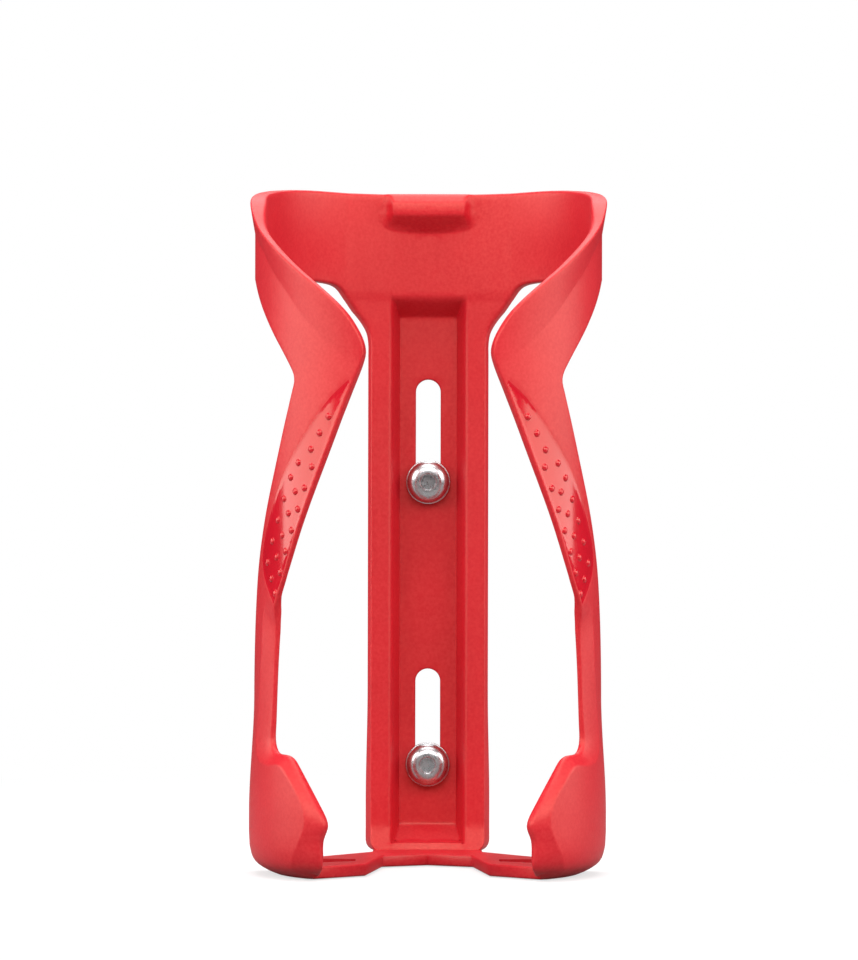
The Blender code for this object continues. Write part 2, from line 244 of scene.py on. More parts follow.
# Rounding of the sheet's edges. The bottle's side of the edge changes from INNER_ROUND to
# WING_ROUND and PLATE_ROUND between these heights and angles.
INNER_ROUND = 0.7
WING_ROUND = 0.95
WING_ROUND_HEIGHTS = (38.0, 46.0)
WING_ROUND_ANGLES = (50.0, 75.0)
PLATE_ROUND = 0.3
PLATE_ROUND_HEIGHTS = (58.0, 54.0)
OUTER_ROUND = 0.45
SLOT_ROUND = 0.35
ARC_STEPS = 4

# Rounding of the creases in the two surfaces.
SIDE_ROUND = 2.4
END_ROUND = 1.3
END_WALL_ROUND = 0.2
CHANNEL_CORNER_ROUND = 0.8
CHANNEL_ENDS_ROUND = 0.1
FLOOR_ROUND = 0.2
RAMP_ROUND = 0.15
FLARE_ROUND = 0.5
LUG_ROUND = 0.5
LUG_FLANK_ROUND = 0.8
LUG_ENDS_ROUND = 0.3
LUG_FOOT_ROUND = 0.35

# The mesh: the spacing of its points, how far they keep apart, and the rows that follow a
# crease or the channel's mouth. Dome rings are (share of the radius, number of points).
INNER_STEP = 1.15
OUTER_STEP = 1.05
LENS_STEP = 0.6
CORNER_STEP = 0.36
OUTLINE_STEP = 0.8
SLOT_STEP = 0.45
CREASE_STEP = 0.6
LENS_LINE_STEP = 0.5
CUT_STEP = 1.0
LEAST_GAP = 0.12
CUT_MARGIN = 0.35
RIM_MARGIN = 0.4
LINE_MARGIN = 0.1
EXTRA_MARGIN = 0.2
ON_EDGE = 0.5
DOME_RINGS = ((0.3, 6), (0.58, 10), (0.8, 14), (0.94, 16), (1.02, 16))
CREASE_SHIFTS = (-0.35, 0.0, 0.35)
MOUTH_SHIFTS = (-0.9, -0.45, 0.0, 0.45, 0.9)

# The strap under the bottle, from above, right half, as (x, y).
STRAP_TOP = -60.32
STRAP_BOTTOM = -62.96
STRAP_FRONT = (
    (0.0, -23.5), (9.6, -28.9), (9.95, -30.2), (13.2, -55.5),
    (21.7, -63.5), (24.2, -65.6),
)
STRAP_REAR = ((22.7, -31.5), (12.4, -17.3), (12.3, -9.2))
STRAP_LIP_RADIUS = 33.4
STRAP_LIP_TURNS = (-39.0, -3.0)
STRAP_REAR_RADIUS = 36.5
STRAP_ROUND = 0.45
STRAP_WINDOW_ROUND = 0.8
STRAP_WINDOW = (
    (15.6, -41.6), (15.6, -47.6), (23.5, -52.4), (28.6, -52.4),
    (28.6, -46.4), (23.5, -40.6),
)

# Screws and washers. The skirt of the head and the top of the shank are given as (height
# above the seat, change of radius).
HEAD_HEIGHT = 2.75
HEAD_RIM = 0.45
CROWN_RADIUS = 2.3
HEAD_SKIRT = ((-0.15, 0.0), (-0.04, -0.06), (0.0, -0.2))
SHANK_RADIUS = 2.45
SHANK_TOP = ((0.0, 0.3), (0.3, 0.0), (0.9, 0.0))
THREAD_START = 1.0
TIP_CHAMFER = 0.5
TIP_RADIUS = 1.85
SOCKET_ACROSS_FLATS = 3.0
SOCKET_DEPTH = 1.6
COUNTERSINK = 0.35
COUNTERSINK_DEPTH = 0.25
THREAD_PITCH = 0.8
THREAD_DEPTH = 0.45
THREAD_STEEPNESS = 1.15
WASHER_HOLE = 2.8
WASHER_ROUND = 0.18
ROUND_STEPS = 96

# Colours, as linear RGB and opacity.
DEEP_RED = (0.50, 0.0030, 0.0145, 1.0)
BRIGHT_RED = (0.57, 0.0060, 0.0190, 1.0)
FLECK_RED = (0.95, 0.12, 0.11, 1.0)
WARM_GLEAM = (1.0, 0.82, 0.60, 1.0)
DULL_STEEL = (0.50, 0.50, 0.51, 1.0)
BRIGHT_STEEL = (0.66, 0.66, 0.67, 1.0)

# The studio, in metres. Softboxes are (name, place, width, height, radiance).
FLOOR_RADIUS = 0.9
FLOOR_GAP = 0.0002
AMBIENT = 0.03
SOFTBOXES = (
    ("left_softbox", (-0.9, -0.08, 0.12), 0.75, 1.0, 3.7),
    ("right_softbox", (0.9, -0.08, 0.12), 0.75, 1.0, 3.4),
    ("top_softbox", (0.0, 0.0, 1.0), 0.9, 1.3, 3.2),
    ("left_fill", (-0.85, -0.85, 0.55), 0.7, 0.7, 4.0),
    ("right_fill", (0.85, -0.85, 0.55), 0.7, 0.7, 4.0),
    ("front_fill", (0.0, -1.25, 0.7), 1.2, 0.6, 5.5),
    ("rear_fill", (0.0, 1.0, 0.95), 1.0, 0.6, 2.2),
)
CAMERA_PLACE = (0.0, -1.0435, 0.0105)
CAMERA_ROLL = -0.12
CAMERA_SHIFT = (0.0010, 0.0573)
FOCAL_LENGTH = 172.0


# ---- small tools


def ramp(value, start, end):
    return np.clip((value - start) / (end - start), 0.0, 1.0)


def ease(value, start, end):
    share = ramp(value, start, end)
    return share * share * (3.0 - 2.0 * share)


def soft_max(a, b, blend):
    """The greater of a and b, with the crease where they meet rounded."""
    share = np.clip(0.5 + 0.5 * (a - b) / blend, 0.0, 1.0)
    return b + (a - b) * share + blend * share * (1.0 - share)


def soft_min(a, b, blend):
    return -soft_max(-a, -b, blend)


def unrolled(points):
    """(angle, height) points as (u, v)."""
    places = np.array(points, float)
    places[:, 0] *= PER_DEGREE
    return places


def spline_points(knots, points, steps):
    """A smooth curve through points, with steps spans between neighbours."""
    last = len(points) - 1
    before = np.maximum(np.arange(last + 1) - 1, 0)
    after = np.minimum(np.arange(last + 1) + 1, last)
    slopes = (points[after] - points[before]) / (knots[after] - knots[before])[:, None]
    curve = []
    for here in range(last):
        span = knots[here + 1] - knots[here]
        for step in range(steps):
            t = step / steps
            curve.append(
                points[here] * (2 * t**3 - 3 * t**2 + 1)
                + slopes[here] * span * (t**3 - 2 * t**2 + t)
                + points[here + 1] * (3 * t**2 - 2 * t**3)
                + slopes[here + 1] * span * (t**3 - t**2)
            )
    curve.append(points[last])
    return np.array(curve)


def lengths_along(line):
    return np.concatenate([[0.0], np.cumsum(np.linalg.norm(np.diff(line[:, :2], axis=0), axis=1))])


def resampled(line, step):
    """The polyline again, in equal spans of about step. Further columns are carried along."""
    along = lengths_along(line)
    count = max(int(round(along[-1] / step)), 1)
    wanted = np.linspace(0.0, along[-1], count + 1)
    return np.stack([np.interp(wanted, along, line[:, k]) for k in range(line.shape[1])], axis=1)


def smooth_line(points, step):
    """A smooth curve through (angle, height, ...) points, unrolled, in spans of about step."""
    places = unrolled(points)
    knots = lengths_along(places)
    return resampled(spline_points(knots, places, steps=12), step)


def nearest(points, line):
    """For each point: the distance to a polyline, the side it lies on (1 is left), and the
    polyline's further columns there."""
    start = line[:-1, :2]
    span = line[1:, :2] - start
    away = points[:, None, :] - start[None]
    share = np.clip((away * span).sum(2) / (span**2).sum(1), 0.0, 1.0)
    gap = np.linalg.norm(away - share[..., None] * span, axis=2)
    best = gap.argmin(1)
    rows = np.arange(len(points))
    side = np.sign(span[best, 0] * away[rows, best, 1] - span[best, 1] * away[rows, best, 0])
    part = share[rows, best][:, None]
    extra = line[best, 2:] * (1.0 - part) + line[best + 1, 2:] * part
    return gap[rows, best], side, extra


def inside(points, loop):
    """Whether each point is inside a closed outline."""
    result = np.zeros(len(points), bool)
    after = np.roll(loop, -1, axis=0)
    for (x0, y0), (x1, y1) in zip(loop, after):
        crosses = (y0 > points[:, 1]) != (y1 > points[:, 1])
        if crosses.any():
            at = x0 + (points[:, 1] - y0) * (x1 - x0) / (y1 - y0 if y1 != y0 else 1.0)
            result ^= crosses & (points[:, 0] < at)
    return result


def closed(loop):
    """An outline with its first point again at the end."""
    return np.concatenate([loop, loop[:1]])


def right_normals(line):
    """Unit normals on the right of travel along an open polyline."""
    along = np.gradient(line, axis=0)
    normals = np.stack([along[:, 1], -along[:, 0]], axis=1)
    return normals / np.linalg.norm(normals, axis=1)[:, None]


def arc(centre, radius, first, last, count):
    """Points on a circle, between two turns in degrees, anticlockwise from the right."""
    turns = np.radians(np.linspace(first, last, count))
    return np.array(centre) + radius * np.stack([np.cos(turns), np.sin(turns)], axis=1)


# ---- the outline, unrolled


def edge_curves():
    """The front and the rear edge of a side, from the collar down to the foot, unrolled."""
    front = unrolled([station[0] for station in STATIONS])
    rear = unrolled([station[1] for station in STATIONS])
    knots = lengths_along(front) + lengths_along(rear)
    return spline_points(knots, front, steps=10), spline_points(knots, rear, steps=10)


FRONT_EDGE, REAR_EDGE = edge_curves()
# The unrolled v of each point of the foot's profiles.
FOOT_HEIGHTS = FOOT_BEND_TOP - lengths_along(np.array(FOOT_OUTSIDE))


def neck_curve():
    """The collar's lower edge down to the plate, then the plate's edge to its middle."""
    points = unrolled(NECK)
    neck = spline_points(lengths_along(points), points, steps=8)
    centre = (points[-1, 0] - PLATE_CORNER, PLATE_BOTTOM + PLATE_CORNER)
    corner = arc(centre, PLATE_CORNER, 0.0, -90.0, 8)
    return np.concatenate([neck[1:], corner, [(0.0, PLATE_BOTTOM)]])


def rim_chain():
    """The whole outer edge of the right half, clockwise from the top of the collar."""
    lip = FOOT_HEIGHTS[-1]
    front_u = FRONT_EDGE[-1, 0]
    rear_u = REAR_EDGE[-1, 0]
    top = [(0.0, STATIONS[0][0][1])]
    front_corner = [(front_u - LIP_SET_BACK, lip)]
    centre = (rear_u + FOOT_CORNER, lip + FOOT_CORNER)
    rear_corner = arc(centre, FOOT_CORNER, -90.0, -180.0, 7)
    parts = [top, FRONT_EDGE, front_corner, rear_corner, REAR_EDGE[::-1], neck_curve()]
    return resampled(np.concatenate(parts), OUTLINE_STEP)


def slot_chain(middle):
    """The right half of a screw slot's edge, upwards."""
    radius = SLOT_WIDTH / 2
    reach = SLOT_LENGTH / 2 - radius
    lower = arc((0.0, middle - reach), radius, -90.0, 0.0, 12)
    upper = arc((0.0, middle + reach), radius, 0.0, 90.0, 12)
    return resampled(np.concatenate([lower, upper]), SLOT_STEP)


def crease_heights():
    """Heights at which the middle of the backplate has a crease, on either side of it."""
    channel_ends = [FLOOR_BOTTOM, FLOOR_TOP, END_WALL_FOOT, FLOOR_TOP + TOP_RUN]
    lug_edges = [LUG_FACE_BOTTOM, LUG_FACE_TOP, LUG_FACE_BOTTOM - LUG_UNDER_RUN]
    hump_ends = [HUMP_BOTTOM, HUMP_TOP, HUMP_BOTTOM - HUMP_BOTTOM_RUN, HUMP_TOP + HUMP_TOP_RUN]
    return channel_ends + [END_WALL_FOOT - END_WALL_RUN] + lug_edges + hump_ends


def cut_chain(low, high, low_round, high_round):
    """Points up the middle line between two edges, with the creases among them."""
    start = low + low_round + CUT_MARGIN
    stop = high - high_round - CUT_MARGIN
    heights = [start, stop]
    for crease in crease_heights():
        heights += [crease + shift for shift in CREASE_SHIFTS + MOUTH_SHIFTS[::4]]
    heights = sorted(h for h in heights if start <= h <= stop)
    filled = [heights[0]]
    for height in heights[1:]:
        gap = height - filled[-1]
        if gap < LEAST_GAP:
            continue
        between = int(gap / CUT_STEP)
        for _ in range(between):
            filled.append(filled[-1] + gap / (between + 1))
        filled.append(height)
    return np.array([[0.0, height] for height in filled])


def edge_rounding(points):
    """The rounding of the bottle's side of the edge: large on the wing, small on the plate."""
    u, v = points.T
    to_front, _, _ = nearest(points, FRONT_EDGE)
    wing = ease(v, *WING_ROUND_HEIGHTS) * ease(u / PER_DEGREE, *WING_ROUND_ANGLES)
    wing *= to_front < ON_EDGE
    plate = ease(v, *PLATE_ROUND_HEIGHTS) * (u < SPLIT_ANGLE * PER_DEGREE)
    return INNER_ROUND + (WING_ROUND - INNER_ROUND) * wing - (INNER_ROUND - PLATE_ROUND) * plate


class Outline:
    """The right half's outline as one clockwise loop of points, with a rounding each."""

    def __init__(self):
        slot_middle = SLOT_SPACING / 2
        rim = rim_chain()
        lower = slot_chain(-slot_middle)
        upper = slot_chain(slot_middle)
        top = rim[0, 1]
        bottom = rim[-1, 1]
        ends = slot_middle + SLOT_LENGTH / 2, slot_middle - SLOT_LENGTH / 2
        parts = [
            (rim, "edge"),
            (cut_chain(bottom, -ends[0], PLATE_ROUND, SLOT_ROUND), "cut"),
            (lower, "slot"),
            (cut_chain(-ends[1], ends[1], SLOT_ROUND, SLOT_ROUND), "cut"),
            (upper, "slot"),
            (cut_chain(ends[0], top, SLOT_ROUND, INNER_ROUND), "cut"),
        ]
        self.points = np.concatenate([line for line, _ in parts])
        self.normals = np.zeros_like(self.points)
        self.inner_round = np.zeros(len(self.points))
        self.outer_round = np.zeros(len(self.points))
        self.chains = []
        first = 0
        for line, kind in parts:
            last = first + len(line)
            if kind != "cut":
                normals = right_normals(line)
                for end in (0, -1):
                    normals[end] = (0.0, math.copysign(1.0, normals[end, 1]))
                is_slot = kind == "slot"
                self.normals[first:last] = normals
                self.inner_round[first:last] = SLOT_ROUND if is_slot else edge_rounding(line)
                self.outer_round[first:last] = SLOT_ROUND if is_slot else OUTER_ROUND
                self.chains.append(range(first, last))
            first = last

    def inset(self, rounding):
        return self.points + self.normals * rounding[:, None]


# ---- the two surfaces


def lens_outline():
    """The lens, as a closed loop in (u, v)."""
    rear = smooth_line(LENS_REAR, LENS_LINE_STEP)
    edge = resampled(FRONT_EDGE, LENS_LINE_STEP)
    margin = edge + right_normals(edge) * LENS_MARGIN
    keep = (margin[:, 1] < LENS_REAR[0][1]) & (margin[:, 1] > LENS_REAR[-1][1])
    front = margin[keep]
    return np.concatenate([rear, front[::-1][1:-1]])


def dome_centres():
    centres = []
    for first, last, count in DOME_LANES:
        shares = np.linspace(0.0, 1.0, count)[:, None]
        centres.append(np.array(first) * (1.0 - shares) + np.array(last) * shares)
    return unrolled(np.concatenate(centres))


LENS = lens_outline()
LENS_LOOP = closed(LENS)
DOMES = dome_centres()
CREASE = smooth_line(WING_CREASE, CREASE_STEP)
RIDGE = smooth_line(PAD_RIDGE, CREASE_STEP)


def strip_share(places, line):
    """0 on a crease and behind it, rising to the crease's amount at the front edge."""
    gap, side, amount = nearest(places, line)
    to_edge, _, _ = nearest(places, FRONT_EDGE)
    return np.where(side > 0.0, amount[:, 0] * gap / (gap + to_edge + 1e-6), 0.0)


def flare_inside(places):
    """How far the bottle's side follows the wing's flare."""
    share = ease(places[:, 0] / PER_DEGREE, *FLARE_INSIDE_ANGLES)
    return FLARE_INSIDE * share * strip_share(places, CREASE)


def edge_thinning(places):
    """How much thinner the arm's wall is near its front edge, beside the lens."""
    to_edge, _, _ = nearest(places, FRONT_EDGE)
    heights, amounts = np.array(EDGE_THINNING).T
    return np.interp(places[:, 1], heights, amounts) * (1.0 - ease(to_edge, 0.0, THINNING_WIDTH))


def lens_relief(places):
    """The lens's recess, below 0, with the domes that stand up in it."""
    gap, _, _ = nearest(places, LENS_LOOP)
    depth = np.where(inside(places, LENS), -LENS_DEPTH * ease(gap, 0.0, LENS_WALL), 0.0)
    to_dome = np.linalg.norm(places[:, None, :] - DOMES[None], axis=2).min(1)
    bulge = np.clip(1.0 - (to_dome / DOME_RADIUS) ** 2, 0.0, 1.0) ** DOME_FULLNESS
    return depth + DOME_HEIGHT * bulge


def foot_profile(v, profile):
    """Radius and height of a foot surface for v below the bend's top."""
    radii, heights = np.array(profile).T
    return np.interp(-v, -FOOT_HEIGHTS, radii), np.interp(-v, -FOOT_HEIGHTS, heights)


def backplate_share(x):
    """How far a point of the backplate has left the flat middle for the curved wall."""
    return ease(np.abs(x), *FLAT_TO_CURVED)


def channel(x, z, half_width, low, high, floor_y, mouth_y, runs, end_round):
    """The surface mouth_y with a tray sunk into it, whose floor is at floor_y. The tray's
    walls lean outwards by side, bottom and top runs."""
    side_run, bottom_run, top_run = runs
    depth = floor_y - mouth_y
    side = floor_y - (x - half_width) * depth / side_run
    bottom = floor_y - (low - z) * depth / bottom_run
    top = floor_y - (z - high) * depth / top_run
    ends = soft_max(mouth_y, soft_min(bottom, top, CHANNEL_ENDS_ROUND), end_round)
    walls = soft_min(soft_max(mouth_y, side, SIDE_ROUND), ends, CHANNEL_CORNER_ROUND)
    return soft_min(walls, np.full_like(z, floor_y), FLOOR_ROUND)


def lug(x, z):
    """The faces of the lug: its front, its curved flank, its top and its underside."""
    out = np.clip((x - LUG_HALF_WIDTH) / LUG_FLANK_RUN, -1.0, 1.0)
    flank = LUG_FRONT_Y + LUG_FLANK_RISE * out * (2.0 - np.abs(out))
    under = LUG_FRONT_Y + (LUG_FACE_BOTTOM - z) * LUG_UNDER_SLOPE
    top = LUG_FRONT_Y + (z - LUG_FACE_TOP) * LUG_TOP_SLOPE
    slopes = soft_max(flank, soft_max(under, top, LUG_ENDS_ROUND), LUG_FLANK_ROUND)
    return soft_max(slopes, np.full_like(z, LUG_FRONT_Y), LUG_ROUND)


def side_places(places, radius, profile):
    """Points of a wall at the given radius, bent in at the foot."""
    u, v = places.T
    z = v.copy()
    low = (v < FOOT_BEND_TOP) & (u > FOOT_ANGLE * PER_DEGREE)
    foot_radius, foot_height = foot_profile(v[low], profile)
    radius = radius.copy()
    radius[low] += foot_radius - profile[0][0]
    z[low] = foot_height
    turn = u / OUTER_RADIUS
    return np.stack([radius * np.sin(turn), AXIS_Y + radius * np.cos(turn), z], axis=1)


def inner_x(u):
    """How far from the middle the bottle's side of the backplate is at u."""
    full = OUTER_RADIUS * np.sin(u / OUTER_RADIUS)
    return full * (1.0 - WALL / OUTER_RADIUS * backplate_share(full))


def backplate_front(x, z):
    """The bottle's side of the backplate: the curved wall with the channel and the lug."""
    wall = AXIS_Y + np.sqrt(INNER_RADIUS**2 - x**2)
    runs = (SIDE_RUN, END_WALL_RUN, TOP_RUN)
    end_round = np.where(z > 0.0, END_ROUND, END_WALL_ROUND)
    y = channel(
        x, z, FLOOR_HALF_WIDTH, END_WALL_FOOT, FLOOR_TOP, FLOOR_FRONT_Y, wall, runs, end_round
    )
    y = soft_min(y, FLOOR_FRONT_Y - (FLOOR_BOTTOM - z) * RAMP_SLOPE, RAMP_ROUND)
    y -= FLARE_SLOPE * soft_max(FLARE_TOP - z, np.zeros_like(z), FLARE_ROUND)
    return soft_min(y, lug(x, z), LUG_FOOT_ROUND)


def inner_surface(places):
    """The bottle's side of the moulding."""
    u, v = places.T
    radius = INNER_RADIUS + flare_inside(places) + edge_thinning(places)
    made = side_places(places, radius, FOOT_INSIDE)
    plate = u < SPLIT_ANGLE * PER_DEGREE
    x = inner_x(u[plate])
    z = v[plate]
    made[plate] = np.stack([x, backplate_front(x, z), z], axis=1)
    return made


def outer_surface(places):
    """The outside of the moulding."""
    u, v = places.T
    swell = PAD_SWELL * ease(v, *PAD_SWELL_HEIGHTS)
    radius = OUTER_RADIUS + swell + strip_share(places, CREASE)
    radius = radius - strip_share(places, RIDGE) + lens_relief(places)
    made = side_places(places, radius, FOOT_OUTSIDE)
    plate = u < SPLIT_ANGLE * PER_DEGREE
    x, base, z = made[plate].T
    runs = (HUMP_SIDE_RUN, HUMP_BOTTOM_RUN, HUMP_TOP_RUN)
    y = channel(x, z, HUMP_HALF_WIDTH, HUMP_BOTTOM, HUMP_TOP, FLOOR_REAR_Y, base, runs, END_ROUND)
    made[plate] = np.stack([x, y, z], axis=1)
    return made


# ---- the sheet's mesh


def u_of_inner_x(x):
    """Where on the unrolled sheet the bottle's side has this x, on the backplate."""
    u = np.linspace(0.0, SPLIT_ANGLE * PER_DEGREE, 400)
    return np.interp(x, inner_x(u), u)


def u_of_outer_x(x):
    """The same on the outside."""
    return OUTER_RADIUS * np.arcsin(x / OUTER_RADIUS)


def plate_line(points, to_u):
    """A line on the backplate, given as (x, height), in (u, v)."""
    line = np.array(points, float)
    line[:, 0] = to_u(line[:, 0])
    return resampled(line, OUTLINE_STEP)


def nested(half, low, high, shifts):
    """Outlines of a rectangle about the middle line, right half, just apart."""
    return [
        [(0.0, low - s), (half + s, low - s), (half + s, high + s), (0.0, high + s)]
        for s in shifts
    ]


def inner_features():
    """Creases of the bottle's side, in (u, v)."""
    mouth = FLOOR_HALF_WIDTH + SIDE_RUN
    rim = STATIONS[0][0][1] - INNER_ROUND - RIM_MARGIN
    base = LUG_FACE_BOTTOM - LUG_UNDER_RUN
    flank = LUG_HALF_WIDTH + LUG_FLANK_RUN
    flank_foot = base + 2.2
    flare_end = PLATE_HALF_WIDTH - 1.0
    lug_top_end = LUG_HALF_WIDTH - 0.6
    lines = nested(FLOOR_HALF_WIDTH, FLOOR_BOTTOM, FLOOR_TOP, CREASE_SHIFTS)
    lines += nested(mouth, END_WALL_FOOT - END_WALL_RUN, FLOOR_TOP + TOP_RUN, MOUTH_SHIFTS)
    lines.append([(0.0, FLARE_TOP), (flare_end, FLARE_TOP)])
    for s in CREASE_SHIFTS:
        side = LUG_HALF_WIDTH + s
        lines.append([(0.0, LUG_FACE_BOTTOM - s), (side, LUG_FACE_BOTTOM - s), (side, rim)])
        lines.append([(0.0, LUG_FACE_TOP + s), (lug_top_end, LUG_FACE_TOP + s)])
        lines.append([(x, base + rise - s) for x, rise in LUG_FOOT])
    lines.append([(flank, flank_foot), (flank, rim)])
    return [plate_line(line, u_of_inner_x) for line in lines]


def outer_features():
    """Creases of the outside, in (u, v)."""
    base = HUMP_HALF_WIDTH + HUMP_SIDE_RUN
    lines = nested(HUMP_HALF_WIDTH, HUMP_BOTTOM, HUMP_TOP, CREASE_SHIFTS)
    lines += nested(base, HUMP_BOTTOM - HUMP_BOTTOM_RUN, HUMP_TOP + HUMP_TOP_RUN, MOUTH_SHIFTS)
    creases = [plate_line(line, u_of_outer_x) for line in lines]
    for line in (CREASE, RIDGE):
        normals = right_normals(line[:, :2])
        creases += [line[:, :2] + normals * shift for shift in CREASE_SHIFTS]
    return creases + [LENS_LOOP]


def channel_corner_points():
    """Close points where the channel's side walls meet its end walls, on the bottle's side."""
    inward = 0.6
    outward = MOUTH_SHIFTS[-1]
    left = FLOOR_HALF_WIDTH - inward
    right = FLOOR_HALF_WIDTH + SIDE_RUN + outward
    spans = (
        (END_WALL_FOOT - END_WALL_RUN - outward, FLOOR_BOTTOM + inward),
        (FLOOR_TOP - inward, FLOOR_TOP + TOP_RUN + outward),
    )
    corners = [hex_lattice((left, low), (right, high), CORNER_STEP) for low, high in spans]
    points = np.concatenate(corners)
    points[:, 0] = u_of_inner_x(points[:, 0])
    return points


def lens_inside_points():
    """A row of points along the foot of the lens's wall."""
    rows = []
    for shift in (-LENS_WALL, LENS_WALL):
        row = LENS_LOOP + right_normals(LENS_LOOP) * shift
        rows.append(row[inside(row, LENS)])
    return np.concatenate(rows)


def dome_points():
    """Rings of points round each dome."""
    rings = [DOMES]
    for share, count in DOME_RINGS:
        turns = np.linspace(0.0, 2.0 * math.pi, count, endpoint=False)
        ring = DOME_RADIUS * share * np.stack([np.cos(turns), np.sin(turns)], axis=1)
        rings.append((DOMES[:, None, :] + ring[None]).reshape(-1, 2))
    return np.concatenate(rings)


def hex_lattice(low, high, step):
    """Evenly spread points in a rectangle, in rows that are staggered."""
    points = []
    row_step = step * math.sqrt(3.0) / 2.0
    for row in range(int((high[1] - low[1]) / row_step) + 1):
        shift = 0.5 * step * (row % 2)
        us = np.arange(low[0] + shift, high[0], step)
        points.append(np.stack([us, np.full_like(us, low[1] + row * row_step)], axis=1))
    return np.concatenate(points)


def clear_of(points, others, gap):
    """The points that keep a distance from all the others."""
    tree = kdtree.KDTree(len(others))
    for index, (u, v) in enumerate(others):
        tree.insert((u, v, 0.0), index)
    tree.balance()
    return points[[tree.find((u, v, 0.0))[2] > gap for u, v in points]]


def fixed_lines(loop, features):
    """The points of a loop and of the features within it, and the edges that join them."""
    lines = [loop]
    edges = [(k, (k + 1) % len(loop)) for k in range(len(loop))]
    count = len(loop)
    for line in features:
        on_loop = np.linalg.norm(line[:, None] - loop[None], axis=2).min(1) < 1e-6
        keep = (inside(line, loop) & (nearest(line, closed(loop))[0] > LINE_MARGIN)) | on_loop
        numbers = count - 1 + np.cumsum(keep)
        joined = np.flatnonzero(keep[:-1] & keep[1:])
        edges += [(int(numbers[k]), int(numbers[k + 1])) for k in joined]
        lines.append(line[keep])
        count += int(keep.sum())
    return np.concatenate(lines), edges


def filling_points(loop, dense, step, lens_step):
    """A lattice in the room that the dense points leave, finer in the lens if it has a step."""
    free = hex_lattice(loop.min(0), loop.max(0), step)
    fine = free[:0]
    if lens_step:
        free = free[~inside(free, LENS)]
        fine = hex_lattice(LENS.min(0), LENS.max(0), lens_step)
        fine = clear_of(fine[inside(fine, LENS)], dense, 0.7 * lens_step)
    free = free[inside(free, loop)]
    free = free[nearest(free, closed(loop))[0] > 0.45 * step]
    return np.concatenate([clear_of(free, dense, 0.6 * step), fine])


def triangulated(loop, features, extra, step, lens_step=None):
    """Triangles that fill a loop, with features as edges and extra points among them. Returns
    points, triangles, and each loop point's index."""
    fixed, edges = fixed_lines(loop, features)
    extra = extra[inside(extra, loop)]
    extra = extra[nearest(extra, closed(loop))[0] > EXTRA_MARGIN]
    dense = np.concatenate([fixed, clear_of(extra, fixed, LEAST_GAP)])
    points = np.concatenate([dense, filling_points(loop, dense, step, lens_step)])
    vectors = [Vector(point) for point in points]
    places, _, faces, sources, _, _ = delaunay_2d_cdt(vectors, edges, [], 1, 1e-6)
    found = {}
    for index, merged in enumerate(sources):
        for source in merged:
            found[source] = index
    at = [found[k] for k in range(len(loop))]
    return np.array([(place.x, place.y) for place in places]), faces, at


def add_side(made, surface, triangles, outside):
    """Adds one of the two surfaces to the mesh. Returns its outline's vertices."""
    places, faces, at = triangles
    verts = [made.verts.new(place) for place in surface(places)]
    middles = np.array([places[list(face)].mean(0) for face in faces])
    polished = inside(middles, LENS) & outside
    for face, is_polished in zip(faces, polished):
        corners = [verts[k] for k in face]
        added = made.faces.new(corners[::-1] if outside else corners)
        added.material_index = int(is_polished)
    return [verts[k] for k in at]


def half_sheet():
    """The right half of the moulded sheet, open along the middle plane, as a bmesh."""
    outline = Outline()
    made = bmesh.new()
    loop = outline.inset(outline.inner_round)
    triangles = triangulated(loop, inner_features(), channel_corner_points(), INNER_STEP)
    inner = add_side(made, inner_surface, triangles, False)
    loop = outline.inset(outline.outer_round)
    extra = np.concatenate([dome_points(), lens_inside_points()])
    triangles = triangulated(loop, outer_features(), extra, OUTER_STEP, LENS_STEP)
    outer = add_side(made, outer_surface, triangles, True)
    add_rims(made, outline, inner, outer)
    return made


def add_rims(made, outline, inner, outer):
    """The rounded edge between the two surfaces."""
    turns = np.radians(np.linspace(0.0, 90.0, ARC_STEPS + 1))[1:]
    for chain in outline.chains:
        ids = np.array(chain)
        points = outline.points[ids]
        normals = outline.normals[ids]
        rows = [[inner[k] for k in chain]]
        for turn in turns:
            rows.append(rim_row(made, points, normals, outline.inner_round[ids], turn, False))
        for turn in turns[::-1]:
            rows.append(rim_row(made, points, normals, outline.outer_round[ids], turn, True))
        rows.append([outer[k] for k in chain])
        for near, far in zip(rows, rows[1:]):
            for k in range(len(near) - 1):
                made.faces.new((near[k], near[k + 1], far[k + 1], far[k]))


def rim_row(made, points, normals, rounding, turn, outside):
    """One row of the rounded edge: turn is 0 at the face and 90 degrees at the edge."""
    places = points + normals * (rounding * (1.0 - math.sin(turn)))[:, None]
    inner = inner_surface(places)
    outer = outer_surface(places)
    through = outer - inner
    through /= np.linalg.norm(through, axis=1)[:, None]
    depth = (rounding * (1.0 - math.cos(turn)))[:, None]
    row = outer - through * depth if outside else inner + through * depth
    return [made.verts.new(place) for place in row]


def mirrored_whole(made):
    """Adds the left half and welds the two along the middle plane."""
    copy = bmesh.ops.duplicate(made, geom=made.verts[:] + made.edges[:] + made.faces[:])
    fresh = [item for item in copy["geom"] if isinstance(item, bmesh.types.BMVert)]
    faces = [item for item in copy["geom"] if isinstance(item, bmesh.types.BMFace)]
    bmesh.ops.scale(made, verts=fresh, vec=(-1.0, 1.0, 1.0))
    bmesh.ops.reverse_faces(made, faces=faces)
    middle = [vert for vert in made.verts if abs(vert.co.x) < 1e-4]
    bmesh.ops.remove_doubles(made, verts=middle, dist=1e-4)
    bmesh.ops.recalc_face_normals(made, faces=made.faces)


def add_object(name, data):
    item = bpy.data.objects.new(name, data)
    bpy.context.scene.collection.objects.link(item)
    return item


def mesh_object(name, made):
    """Turns a bmesh into an object."""
    mesh = bpy.data.meshes.new(name)
    made.to_mesh(mesh)
    made.free()
    return add_object(name, mesh)


